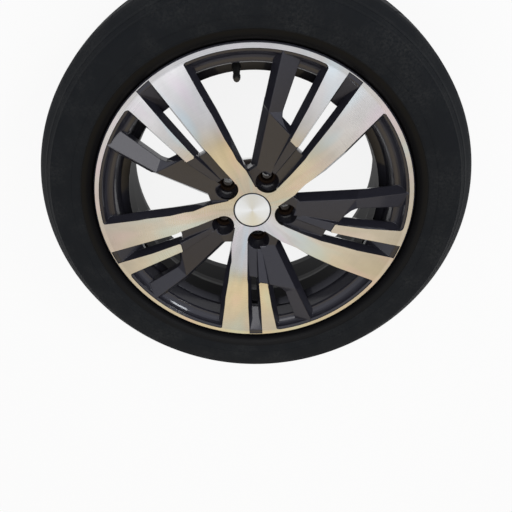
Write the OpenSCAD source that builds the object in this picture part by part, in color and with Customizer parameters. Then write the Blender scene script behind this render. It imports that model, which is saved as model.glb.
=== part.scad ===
// Car wheel and tyre: a five-fold cast alloy wheel, 18 by 7 inch, with a 225/50 tyre.
// Origin: centre of the hub's mounting face, on the wheel's axis. +Z points outboard, to the face
// that is seen on a car. +Y points at the tyre valve. The whole stands on the tyre's inboard sidewall.
// One spoke unit is laid out with its main spoke's left corner on the lip at +Y, then turned and
// repeated five times round the axis.

/* [Rim] */
// Diameter at the bead seats, 18 inch size
bead_seat_d = 462; // [458:1:466]
// Width between the two flanges, 7 inch size
rim_width = 177.8; // [172:0.1:184]
// Offset from the rim's centre plane out to the mounting face
offset_et = 44; // [40:1:48]
// Height of the flanges above the bead seats
flange_height = 17.5; // [17:0.1:18]
// Thickness of the barrel's wall
barrel_wall = 6; // [5:0.5:7]

/* [Tyre] */
// Outer diameter of the tyre
tyre_d = 682; // [670:1:694]
// Width over the sidewalls
tyre_width = 233; // [227:1:239]
// Width of the tread
tread_width = 180; // [172:1:188]
// Depth of the main tread grooves
groove_depth = 7.5; // [5:0.5:8]
// Width of the main tread grooves
groove_width = 9; // [6:1:11]

/* [Hub] */
// Diameter of the centre bore
hub_bore_d = 65.1; // [63:0.1:67]
// Length of the centre bore, up to the room for the cap's hooks
hub_bore_length = 18; // [16:1:20]
// Diameter of the mounting pad
pad_d = 140; // [138:1:144]
// Bolt circle
pitch_circle_d = 108; // [106:1:110]
// Diameter of each bolt hole
bolt_hole_d = 14.5; // [13:0.1:15.5]
// Height of the bolt seats above the mounting face
bolt_seat_z = 16; // [13:1:19]

/* [Centre cap] */
// Outer diameter of the cap
cap_d = 59; // [58:0.5:59.4]
// Diameter of the hub's hole that the cap's legs clip into
cap_hole_d = 56; // [54:0.5:57]
// Number of snap legs
cap_legs = 6; // [4:1:8]

/* [Valve] */
// Diameter of the valve hole in the rim
valve_hole_d = 11.5; // [11.3:0.1:11.7]
// Length of the valve that stands out of the rim, with its cap
valve_length = 32; // [29:1:35]
// Lean of the valve towards the wheel's axis, degrees
valve_lean = 22.6; // [20:0.1:25]
// Travel of the core's pin
pin_travel = 1.2; // [0.8:0.1:1.6]

/* [Hidden] */
$fn = 96;

units = 5;
unit_angle = 360 / units;
// Half way between a main spoke's right corner on the lip and the next unit's arm, where the valve is
valve_angle = -28.6;
first_unit = -valve_angle;
paint = [0.16, 0.16, 0.20];
rubber = [0.10, 0.10, 0.11];

// Rim datum lines
seat_r = bead_seat_d / 2;
flange_r = seat_r + flange_height;
rim_mid_z = -offset_et;
front_heel_z = rim_mid_z + rim_width / 2;
rear_heel_z = rim_mid_z - rim_width / 2;
flange_curl = 9.5;
heel_r = 6.5;
seat_taper = tan(5);
seat_w = 20;
hump_h = 1.4;
lip_z = front_heel_z + flange_curl + 1.6;
lip_r = flange_r - 2.5;
lip_inner_r = lip_r - 6.3;
lip_step = 1.6;
spoke_crown_z = 63.5;
spoke_end = seat_r + 31;
well_r = seat_r - 20.5;
well_inner_r = well_r - barrel_wall;
cove_foot_r = seat_r - 9.4;
cove_foot_z = lip_z - 15;
shelf_out = [seat_r - 14.5, 12];
shelf_in = [well_inner_r, 7];

// Turned front of the wheel as radius and height, and the back of the spokes
face_line = [[0, 42], [30, 42], [60, 50], [90, 58], [128, spoke_crown_z], [180, spoke_crown_z - 1.5],
             [lip_inner_r + 1, lip_z - 0.02], [lip_r - 0.7, lip_z - 0.05]];
back_line = [[pad_d / 2 - 6, 4], [pad_d / 2 + 13, 17], [106, 30], [140, 36], [172, 35], [196, 22], [208, 8]];
root_z = 26;
corner_root_z = 19;
fillet_foot_z = 42;
back_draft = 0.4;
overshoot_z = max(lip_z + 10, spoke_crown_z + 2.5);
straight = 0.3;

// Outlines of one unit's cast blocks. Each row is a corner, x and y, then the sideways run for each
// millimetre down of the wall from that corner to the next. Every corner is in sight of the last one
main_outline = [[27.3, 31, 0.1], [32.4, 87, 0.4], [37.4, 122, 0.55], [43, 160, 0.55], [52.5, spoke_end, 0],
                [-0.4, spoke_end, 0.42], [4.6, 128, 0.42], [6.6, 60, 0], [6.6, 26, 0], [16, 22, 0]];
heel_outline = [[20, 20, 0], [20, 60, 0], [6.6, 56, 0], [0.5, 40, 0], [0.5, 20, 0]];
strip_outline = [[-16.4, 125.4, 0.3], [-14.3, 127.6, 0.33], [-25.9, spoke_end, 0], [-54.7, spoke_end, 0.45],
                 [-28.7, 127, 0.3]];
arm_outline = [[-56, 136, 0], [-91, 237, 0], [-121, 234, 0.65], [-77.5, 139.9, 0.3], [-68, 134, 0]];
web_outline = [[-33, 132.5, 0.5], [-77.5, 139.9, 0.62], [-36, 57, 0], [-12, 57, 0]];
corner_outline = [[-26, 34, 0], [-8, 48, 0], [-25, 68, 0], [-39.5, 65, 0.3], [-46, 44, 0]];
ridge_outline = [[-9.6, 70, 0.45], [-14.6, 127.6, 0], [-30.4, 130, 0.3], [-17.5, 70, 0]];
trough_outline = [[6, 60, 0], [6, 119.2, 0.1], [-22, 121.8, 0], [-16, 60, 0]];
slot_end_outline = [[10, 199, 0], [10, 237, 0], [-30, 237, 0], [-30, 199, 0]];
strip_edge = [[-29.2, 129.5], [-51.6, 246]];
main_edge = [[43, 160], [50.5, 240]];
strip_fillet = 6;
main_fillet = 4;

// How far each block's parting line lies below its edge
main_depth = 14;
heel_depth = 9;
strip_depth = 16;
arm_depth = 14;
web_depth = 14.5;
corner_depth = 6;
ridge_depth = 5;
trough_depth = 7;
slot_end_depth = 2;
steep_draft = 0.05;

// Each painted facet is a plane: height at a point, and the rise for each millimetre of x and y
arm_plane = [-77.5, 139.9, 59.7, -0.318, -0.216];
web_plane = [-77.5, 139.9, 59.7, -0.0147, 0.1926];
ridge_plane = [-15, 128, 62.6, 0, 0.31];
trough_plane = [0, 120, 53, 0, 0.18];
slot_end_plane = [0, 236.5, lip_z - lip_step, 0, 0.56];
corner_plane = [-39.5, 65, 44.2, 0, 0.05];

// Tyre section: half width from the centre plane, then radius
half_w = tyre_width / 2;
half_tread = tread_width / 2;
tyre_r = tyre_d / 2;
crown_drop = 9.5;
shoulder_r = tyre_r - crown_drop;
under_tread = 6.8;
cavity_r = tyre_r - groove_depth - under_tread;
side_wall = 9;
bead_w = 16;
bead_toe = 1.5;
flange_foot = 3.8;
groove_at = [0.578 * half_tread, 0.211 * half_tread];
groove_draft = 1.2;
// Outside of the tyre: share of the height from the flange to the shoulder, then share of the way out
// to the full width, from the bead for the lower points and from the tread's edge for the upper ones
sidewall_low = [[0.011, 0], [0.026, 0.315], [0.067, 0.543], [0.138, 0.712], [0.308, 0.913], [0.428, 0.986],
                [0.468, 1]];
sidewall_high = [[0.557, 1], [0.621, 0.985], [0.704, 0.917], [0.765, 0.755], [0.886, 0.377], [0.946, 0.189]];
// Inside of the tyre, the same way: from the bead's toe, then from the centre plane
cavity_low = [[-0.071, 0.141], [0.071, 0.64], [0.327, 0.931], [0.544, 1]];
cavity_high = [[0.781, 0.953], [0.923, 0.805], [0.982, 0.619], [1, 0]];

// Hub and cap heights
cap_top_z = 42;
cap_recess = 4.5;
cap_seat_z = cap_top_z - cap_recess;
leg_r = cap_hole_d / 2 - 0.3;
leg_t = 2.4;
leg_sweep = 28;
hook_reach = 1.6;
hook_room_r = leg_r + hook_reach + 1.2;
shoulder_z = hub_bore_length + 6;
leg_foot_z = hub_bore_length + 1;
cap_rim = 1.4;
cap_chamfer = 0.8;
face_r = cap_d / 2 - cap_rim;
ring_z = shoulder_z + 4;
ring_wire_r = 0.9;
bore_chamfer = 1.5;
hub_floor_z = 41;
hub_face_r = 41.5;
bolt_mouth_r = 17.9;
bolt_seat_r = 14;
bolt_angle = 102;

// Valve datum on the shelf of the rim, and lengths along the valve's own axis
valve_seat = [(shelf_out[0] + shelf_in[0]) / 2, (shelf_out[1] + shelf_in[1]) / 2];
valve_wall = 4.2;
valve_bulb_r = 7.6;
valve_neck_r = 4.4;
cap_r = 4.9;
cap_ribs = 12;
cap_foot = valve_length - 12;
stem_r = 3.85;
stem_foot_r = 3.1;
stem_bore_r = 2.2;
stem_top = valve_length - 1.6;
stem_foot = -valve_wall - 7;
core_r = 2.6;
core_top = stem_top - 0.8;
core_seat_z = stem_top - 8;
core_foot = stem_top - 13;
barrel_r = 2.0;
core_in_r = 1.55;
collar_z = core_top - 3;
cup_h = 1.6;
pin_r = 0.75;

function slope_at(line, r, i = 0) =
    i >= len(line) - 2 || r < line[i + 1][0]
        ? line[i][1] + (line[i + 1][1] - line[i][1]) * (r - line[i][0]) / (line[i + 1][0] - line[i][0])
        : slope_at(line, r, i + 1);
function face_z(p) = slope_at(face_line, norm([p[0], p[1]]));
function plane_z(plane, p) = plane[2] + plane[3] * (p[0] - plane[0]) + plane[4] * (p[1] - plane[1]);
function arc(centre, r, from, to, steps) =
    [for (i = [0 : steps]) let (a = from + (to - from) * i / steps) centre + r * [cos(a), sin(a)]];

// Level unit vector that points out of the wall from point a to point b
function wall_out(a, b) = [b[1] - a[1], a[0] - b[0]] / norm([b[1] - a[1], a[0] - b[0]]);
// Sideways step of corner i for each millimetre down, where its two walls meet
function corner_step(ring, runs, i) =
    let (n = len(ring),
         h = (i + n - 1) % n,
         p = wall_out(ring[h], ring[i]),
         q = wall_out(ring[i], ring[(i + 1) % n]),
         det = p[0] * q[1] - p[1] * q[0])
    abs(det) < straight
        ? runs[i] * (p + q) / (1 + p * q)
        : [runs[h] * q[1] - runs[i] * p[1], runs[i] * p[0] - runs[h] * q[0]] / det;
function moved(ring, steps, z) =
    [for (i = [0 : len(ring) - 1])
        [ring[i][0] + steps[i][0] * (ring[i][2] - z), ring[i][1] + steps[i][1] * (ring[i][2] - z), z]];

// A closed solid through rings of points, one above the other, the first ring on top
module ring_stack(rings) {
    n = len(rings[0]);
    m = len(rings);
    points = [for (ring = rings) each ring];
    top = [[for (i = [n - 1 : -1 : 0]) i]];
    foot = [[for (i = [0 : n - 1]) (m - 1) * n + (i + n - 1) % n]];
    walls = [for (k = [0 : m - 2], i = [0 : n - 1])
        let (a = k * n + i, b = k * n + (i + 1) % n)
        each [[a, b, b + n], [a, b + n, a + n]]];
    polyhedron(points = points, faces = concat(top, walls, foot), convexity = 4);
}

// A cast block: its walls widen from the edge down to the mould's parting line, then narrow to the back
module cast_block(edge, runs, lid, depth, draft, root = root_z) {
    steps = [for (i = [0 : len(edge) - 1]) corner_step(edge, runs, i)];
    parting = [for (i = [0 : len(edge) - 1])
        [edge[i][0] + steps[i][0] * depth, edge[i][1] + steps[i][1] * depth, edge[i][2] - depth]];
    back_runs = [for (p = parting) draft];
    back_steps = [for (i = [0 : len(edge) - 1]) -corner_step(parting, back_runs, i)];
    ring_stack([lid, parting, moved(parting, back_steps, root)]);
}

module turned_block(outline, depth, draft = back_draft) {
    edge = [for (p = outline) [p[0], p[1], face_z(p)]];
    runs = [for (p = outline) p[2]];
    steps = [for (i = [0 : len(edge) - 1]) corner_step(edge, runs, i)];
    cast_block(edge, runs, moved(edge, steps, overshoot_z), depth, draft);
}

module facet_block(outline, plane, depth, draft = back_draft, root = root_z) {
    edge = [for (p = outline) [p[0], p[1], plane_z(plane, p)]];
    cast_block(edge, [for (p = outline) p[2]], edge, depth, draft, root);
}

// Rounded corner between a block's straight edge and the ring of the lip, on the side given by sense
module lip_fillet(from, to, r, sense) {
    along = (to - from) / norm(to - from);
    away = sense * [along[1], -along[0]];
    start = from + away * r;
    reach = lip_inner_r - r;
    half = start * along;
    centre = start + along * (-half + sqrt(half * half - start * start + reach * reach));
    foot = centre - away * r;
    rim = centre * (lip_inner_r / reach);
    difference() {
        translate([0, 0, fillet_foot_z])
            linear_extrude(height = overshoot_z - fillet_foot_z - 4)
                polygon([foot, foot - away * 5, foot - away * 5 + along * 12, rim * 1.03, rim]);
        translate([centre[0], centre[1], fillet_foot_z])
            cylinder(r1 = 0.5, r2 = 0.5 + (r - 0.5) * 1.6, h = overshoot_z - fillet_foot_z);
    }
}

module unit_blocks() {
    turned_block(main_outline, main_depth);
    turned_block(heel_outline, heel_depth, 0);
    turned_block(strip_outline, strip_depth);
    facet_block(arm_outline, arm_plane, arm_depth);
    facet_block(web_outline, web_plane, web_depth);
    facet_block(corner_outline, corner_plane, corner_depth, 0, corner_root_z);
    facet_block(ridge_outline, ridge_plane, ridge_depth, steep_draft);
    facet_block(trough_outline, trough_plane, trough_depth, steep_draft);
    facet_block(slot_end_outline, slot_end_plane, slot_end_depth, 0);
    lip_fillet(strip_edge[0], strip_edge[1], strip_fillet, -1);
    lip_fillet(main_edge[0], main_edge[1], main_fillet, 1);
}

// Space between the turned front and the back of the spokes
module spoke_space() {
    rotate_extrude()
        polygon(concat(
            face_line,
            [[lip_r - 0.8, lip_z - 3], [flange_r - 12, front_heel_z - 1], [seat_r - 4, front_heel_z - 9],
             [seat_r - 6, 20], [shelf_out[0] + 3, 9]],
            [for (i = [len(back_line) - 1 : -1 : 0]) back_line[i]],
            [[0, back_line[0][1]]]));
}

module barrel() {
    front_curl = [flange_r - flange_curl, front_heel_z + flange_curl];
    rear_curl = [flange_r - flange_curl, rear_heel_z - flange_curl];
    front_heel = [seat_r + heel_r, front_heel_z - heel_r];
    rear_heel = [seat_r + heel_r, rear_heel_z + heel_r];
    seat_drop = (seat_w - heel_r) * seat_taper;
    rotate_extrude()
        polygon(concat(
            [[lip_r - 1, lip_z], [lip_r, lip_z], [flange_r - 0.8, lip_z - 0.9]],
            arc(front_curl, flange_curl, 0, -90, 8),
            arc(front_heel, heel_r, 90, 180, 5),
            [[seat_r - seat_drop, front_heel_z - seat_w],
             [seat_r - seat_drop + hump_h, front_heel_z - seat_w - 3],
             [seat_r - seat_drop - 1, front_heel_z - seat_w - 7],
             [well_r + 1.5, 4], [well_r, 1], [well_r, -27], [well_r + 2, -31],
             [seat_r - 12, -48], [seat_r - 8, -62], [seat_r - 6.5, rear_heel_z + seat_w + 8],
             [seat_r - seat_drop + hump_h, rear_heel_z + seat_w + 3],
             [seat_r - seat_drop, rear_heel_z + seat_w]],
            arc(rear_heel, heel_r, 180, 270, 5),
            arc(rear_curl, flange_curl, 90, 0, 8),
            [[flange_r - 0.8, rear_curl[1] - 2.4], [flange_r - 3, rear_curl[1] - 4],
             [flange_r - 7, rear_curl[1] - 4], [flange_r - 14, rear_curl[1] - 1],
             [seat_r - 6, rear_heel_z - 3], [seat_r - 11, rear_heel_z + seat_w],
             [seat_r - 13.5, -62], [seat_r - 17.6, -46], [well_inner_r + 1, -29],
             [well_inner_r, -26], shelf_in, shelf_out,
             [cove_foot_r - 1.5, cove_foot_z - 3], [cove_foot_r, cove_foot_z]],
            arc([cove_foot_r - 1.2, cove_foot_z + 15.5], 15.6, -78, -12, 5),
            [[lip_inner_r - 0.6, lip_z - lip_step], [lip_r - 1.4, lip_z - lip_step]]));
}

// Turned ring on the lip, left out where the slot beside the main spoke runs to the rim
module turned_lip() {
    ring_from = 90 + 6.1;
    ring_sweep = unit_angle - 6.1 - 0.4;
    for (k = [0 : units - 1])
        rotate([0, 0, first_unit + k * unit_angle + ring_from])
            rotate_extrude(angle = ring_sweep)
                polygon([[lip_inner_r - 0.6, lip_z - lip_step - 0.4], [lip_inner_r, lip_z],
                         [lip_r - 0.5, lip_z], [lip_r - 0.5, lip_z - lip_step - 0.4]]);
}

module hub_core() {
    rotate_extrude()
        polygon([[0, 0], [pad_d / 2, 0], [pad_d / 2, 8], [pad_d / 2 - 8, hub_floor_z],
                 [0, hub_floor_z]]);
}

module bolt_cut() {
    translate([0, 0, bolt_seat_z]) cylinder(r1 = bolt_seat_r, r2 = bolt_mouth_r, h = 28);
    translate([0, 0, bolt_seat_z - 4]) cylinder(r1 = bolt_hole_d / 2, r2 = bolt_hole_d / 2 + 3, h = 4.01);
    translate([0, 0, -1]) cylinder(d = bolt_hole_d, h = bolt_seat_z);
}

module at_valve() {
    rotate([0, 0, 90])
        translate([valve_seat[0], 0, valve_seat[1]])
            rotate([0, -valve_lean, 0])
                children();
}

module wheel() {
    color(paint)
    difference() {
        union() {
            barrel();
            hub_core();
            turned_lip();
            intersection() {
                spoke_space();
                union() {
                    for (k = [0 : units - 1])
                        rotate([0, 0, first_unit + k * unit_angle])
                            unit_blocks();
                    cylinder(r = hub_face_r, h = overshoot_z);
                }
            }
        }
        translate([0, 0, -1]) cylinder(d = hub_bore_d, h = hub_bore_length + 1);
        translate([0, 0, hub_bore_length - 1])
            cylinder(r = hook_room_r, h = shoulder_z - hub_bore_length + 1);
        translate([0, 0, shoulder_z - 1]) cylinder(d = cap_hole_d, h = 30);
        translate([0, 0, cap_seat_z]) cylinder(d = cap_d + 1.4, h = 20);
        translate([0, 0, -0.01])
            cylinder(r1 = hub_bore_d / 2 + bore_chamfer, r2 = hub_bore_d / 2, h = bore_chamfer);
        for (k = [0 : units - 1])
            rotate([0, 0, first_unit + k * unit_angle + bolt_angle])
                translate([pitch_circle_d / 2, 0, 0])
                    bolt_cut();
        at_valve() {
            translate([0, 0, -30]) cylinder(d = valve_hole_d, h = 60);
            translate([0, 0, -20 - valve_wall]) cylinder(r = 11, h = 20);
        }
    }
}

// Outer half of the tyre's section as radius and distance from the rim's centre plane
function crown_r(t) = tyre_r - crown_drop * pow(t / half_tread, 2);
function groove(t) = [
    [crown_r(t + groove_width / 2), t + groove_width / 2],
    [crown_r(t) - groove_depth, t + groove_width / 2 - groove_draft],
    [crown_r(t) - groove_depth, t - groove_width / 2 + groove_draft],
    [crown_r(t - groove_width / 2), t - groove_width / 2]];
// Points given as shares of the way from one radius to another, and from one half width to another
function section(shares, r_from, r_to, t_from, t_to) =
    [for (p = shares) [r_from + p[0] * (r_to - r_from), t_from + p[1] * (t_to - t_from)]];
function tyre_half() =
    let (curl_t = rim_width / 2 + flange_curl,
         heel_t = rim_width / 2 - heel_r,
         toe_t = rim_width / 2 - bead_w)
    concat(
        [[seat_r - (bead_w - heel_r) * seat_taper, toe_t]],
        arc([seat_r + heel_r, heel_t], heel_r, 180, 90, 5),
        arc([flange_r - flange_curl, curl_t], flange_curl, -90, -33.75, 5),
        section(sidewall_low, flange_r, shoulder_r, curl_t - flange_foot, half_w),
        section(sidewall_high, flange_r, shoulder_r, half_tread, half_w),
        [[crown_r(half_tread), half_tread]],
        [for (g = groove_at) each groove(g)]);
function cavity_half() =
    let (toe_t = rim_width / 2 - bead_w - bead_toe)
    concat(
        [[seat_r + bead_toe, toe_t]],
        section(cavity_low, flange_r, cavity_r, toe_t, half_w - side_wall),
        section(cavity_high, flange_r, cavity_r, 0, half_w - side_wall));
function flipped(points) = [for (i = [len(points) - 1 : -1 : 0]) [points[i][0], -points[i][1]]];

module tyre() {
    outer = tyre_half();
    inner = cavity_half();
    color(rubber)
    translate([0, 0, rim_mid_z])
        rotate_extrude()
            polygon(concat(outer, flipped(outer),
                           [for (p = inner) [p[0], -p[1]]],
                           [for (i = [len(inner) - 2 : -1 : 0]) inner[i]]));
}

module centre_cap() {
    color([0.30, 0.30, 0.32])
    difference() {
        union() {
            translate([0, 0, cap_seat_z]) cylinder(d = cap_d, h = cap_recess - cap_chamfer);
            translate([0, 0, cap_top_z - cap_chamfer])
                cylinder(d1 = cap_d, d2 = cap_d - 2 * cap_chamfer, h = cap_chamfer);
            for (k = [0 : cap_legs - 1])
                rotate([0, 0, k * 360 / cap_legs])
                    rotate_extrude(angle = leg_sweep)
                        polygon([[leg_r - leg_t, cap_seat_z + 0.5], [leg_r - leg_t, leg_foot_z],
                                 [leg_r - 0.8, leg_foot_z], [leg_r + hook_reach, shoulder_z - 1.5],
                                 [leg_r, shoulder_z], [leg_r, cap_seat_z + 0.5]]);
        }
        translate([0, 0, cap_top_z - cap_rim]) cylinder(r = face_r, h = 5);
        translate([0, 0, ring_z]) ring_groove();
    }
}

module ring_groove() {
    rotate_extrude()
        polygon([[leg_r - leg_t - 1, -ring_wire_r], [leg_r - leg_t + 0.5, -ring_wire_r],
                 [leg_r - leg_t + 0.5, ring_wire_r], [leg_r - leg_t - 1, ring_wire_r]]);
}

module cap_face() {
    color([0.82, 0.82, 0.84])
    translate([0, 0, cap_top_z - cap_rim])
        rotate_extrude()
            polygon([[0, 0], [face_r, 0], [face_r, cap_rim - 0.4], [face_r - 0.5, cap_rim],
                     [0, cap_rim + 0.5]]);
}

module cap_spring_ring() {
    color([0.7, 0.7, 0.72])
    translate([0, 0, ring_z])
        rotate([0, 0, 10])
            rotate_extrude(angle = 340)
                translate([leg_r - leg_t + 0.5 - ring_wire_r + 0.02, 0])
                    circle(r = ring_wire_r, $fn = 24);
}

module valve_body() {
    neck_r = valve_hole_d / 2;
    color(rubber)
    at_valve()
        rotate_extrude()
            polygon([[stem_foot_r, stem_foot + 1], [4.6, stem_foot + 1], [valve_bulb_r - 1, -valve_wall - 4],
                     [valve_bulb_r, -valve_wall - 2], [valve_bulb_r, -valve_wall], [neck_r, -valve_wall],
                     [neck_r, 0], [neck_r + 1.1, 0], [neck_r + 0.9, 2], [neck_r - 0.1, 4.5],
                     [valve_neck_r + 0.1, cap_foot - 1], [valve_neck_r + 0.1, cap_foot],
                     [stem_r, cap_foot], [stem_r, 6], [stem_foot_r, 4]]);
}

module valve_stem() {
    color([0.72, 0.58, 0.30])
    at_valve()
        rotate_extrude()
            polygon([[stem_bore_r, stem_foot], [stem_foot_r + 0.8, stem_foot],
                     [stem_foot_r + 0.8, stem_foot + 1],
                     [stem_foot_r, stem_foot + 1], [stem_foot_r, 4], [stem_r, 6], [stem_r, stem_top - 0.5],
                     [stem_r - 0.5, stem_top], [core_r, stem_top], [core_r, core_seat_z + 1],
                     [stem_bore_r, core_seat_z]]);
}

module valve_core_plug() {
    color([0.75, 0.62, 0.34])
    at_valve()
        rotate_extrude()
            polygon([[pin_r + 0.12, core_foot], [barrel_r, core_foot], [barrel_r, core_seat_z + 0.2],
                     [barrel_r, core_seat_z + 2], [core_r, core_seat_z + 2], [core_r, core_top],
                     [core_in_r, core_top], [core_in_r, core_foot + 1], [pin_r + 0.12, core_foot + 1]]);
}

module valve_core_gasket() {
    color([0.85, 0.25, 0.2])
    at_valve()
        rotate_extrude()
            polygon([[barrel_r, core_seat_z + 0.2], [stem_bore_r + 0.06, core_seat_z + 0.2],
                     [core_r, core_seat_z + 1], [core_r, core_seat_z + 2], [barrel_r, core_seat_z + 2]]);
}

module valve_core_pin() {
    color([0.8, 0.8, 0.8])
    at_valve()
        rotate_extrude()
            polygon([[0, core_foot - cup_h], [pin_r, core_foot - cup_h], [pin_r, collar_z],
                     [1.3, collar_z], [1.3, collar_z + 0.8], [pin_r, collar_z + 0.8],
                     [pin_r, core_top - 0.1], [0, core_top]]);
}

module valve_core_cup() {
    color([0.2, 0.2, 0.2])
    at_valve()
        rotate_extrude()
            polygon([[pin_r, core_foot - cup_h + 0.4], [1.7, core_foot - cup_h + 0.4],
                     [barrel_r - 0.1, core_foot], [pin_r, core_foot]]);
}

// The coil keeps the length it has when the pin is pressed in
module valve_core_spring() {
    turns = 5;
    steps = 12;
    coil_r = 1.25;
    wire_r = 0.16;
    coil_h = collar_z - (core_foot + 1) - pin_travel - 2 * wire_r - 0.1;
    sides = 6;
    rings = [for (i = [0 : turns * steps])
        let (a = i * 360 / steps, h = coil_h * i / (turns * steps))
        [for (j = [0 : sides - 1])
            let (b = j * 360 / sides, r = coil_r + wire_r * cos(b))
            [r * cos(a), r * sin(a), h + wire_r * sin(b)]]];
    color([0.8, 0.8, 0.8])
    at_valve()
        translate([0, 0, collar_z - coil_h - wire_r])
            ring_stack([for (i = [len(rings) - 1 : -1 : 0]) rings[i]]);
}

module valve_cap() {
    color([0.08, 0.08, 0.09])
    at_valve()
        difference() {
            union() {
                rotate_extrude()
                    polygon([[0, cap_foot], [cap_r, cap_foot], [cap_r, cap_foot + 7],
                             [cap_r - 0.4, valve_length - 1.5], [cap_r - 1.2, valve_length],
                             [0, valve_length]]);
                for (k = [0 : cap_ribs - 1])
                    rotate([0, 0, k * 360 / cap_ribs])
                        translate([cap_r - 0.4, -0.5, cap_foot + 1.5])
                            cube([0.9, 1, 6]);
            }
            translate([0, 0, cap_foot - 1]) cylinder(r = stem_r + 0.15, h = stem_top + 0.5 - cap_foot + 1);
        }
}

module valve_cap_seal() {
    color([0.15, 0.15, 0.15])
    at_valve()
        translate([0, 0, stem_top]) cylinder(r = stem_r + 0.15, h = 0.5);
}

wheel();
tyre();
centre_cap();
cap_face();
cap_spring_ring();
valve_body();
valve_stem();
valve_core_plug();
valve_core_gasket();
valve_core_pin();
valve_core_cup();
valve_core_spring();
valve_cap();
valve_cap_seal();
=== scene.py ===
"""A studio picture of a cast alloy wheel with its tyre, lying face up."""

from __future__ import annotations

import logging
import math
from collections.abc import Callable
from dataclasses import dataclass
from enum import Enum

import bpy
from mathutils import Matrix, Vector


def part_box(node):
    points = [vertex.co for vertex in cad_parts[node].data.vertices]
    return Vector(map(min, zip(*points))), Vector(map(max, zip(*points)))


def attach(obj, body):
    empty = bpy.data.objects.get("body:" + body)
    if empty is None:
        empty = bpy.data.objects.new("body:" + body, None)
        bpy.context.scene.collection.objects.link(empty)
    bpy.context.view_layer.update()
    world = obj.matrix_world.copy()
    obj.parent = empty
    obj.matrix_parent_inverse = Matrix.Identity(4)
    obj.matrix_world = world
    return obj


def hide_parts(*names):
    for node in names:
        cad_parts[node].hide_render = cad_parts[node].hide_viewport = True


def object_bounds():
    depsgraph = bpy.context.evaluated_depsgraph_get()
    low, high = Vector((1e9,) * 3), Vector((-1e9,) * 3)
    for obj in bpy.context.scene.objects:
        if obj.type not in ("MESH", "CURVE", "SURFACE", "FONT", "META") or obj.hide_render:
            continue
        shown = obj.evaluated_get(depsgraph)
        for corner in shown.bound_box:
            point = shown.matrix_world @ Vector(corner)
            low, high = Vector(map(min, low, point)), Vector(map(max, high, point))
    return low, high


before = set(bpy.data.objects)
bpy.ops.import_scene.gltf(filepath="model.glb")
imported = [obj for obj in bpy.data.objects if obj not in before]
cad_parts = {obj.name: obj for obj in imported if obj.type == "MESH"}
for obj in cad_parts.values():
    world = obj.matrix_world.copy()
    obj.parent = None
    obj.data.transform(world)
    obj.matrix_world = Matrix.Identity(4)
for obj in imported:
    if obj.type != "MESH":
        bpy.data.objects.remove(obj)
cad_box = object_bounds()

LOG = logging.getLogger("wheel")
MM = 0.001
# Layout of the casting, in millimetres and degrees
SPOKE_UNITS = 5
FIRST_UNIT = 28.6
BOLT_CIRCLE_R = 54.0
FIRST_BOLT = 58.6

Colour = tuple[float, float, float]
Point = tuple[float, float]
Points = list[tuple[float, float, float]]
Faces = list[tuple[int, ...]]
Socket = bpy.types.NodeSocket


class Body(Enum):
    """The bodies that pieces ride on."""

    WHEEL = "wheel"
    VALVE_PIN = "valve_pin"
    DUST_CAP = "dust_cap"


class Ray(Enum):
    """Kinds of ray that see the white background."""

    CAMERA = "Is Camera Ray"
    GLOSSY = "Is Glossy Ray"
    TRANSMISSION = "Is Transmission Ray"


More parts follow.
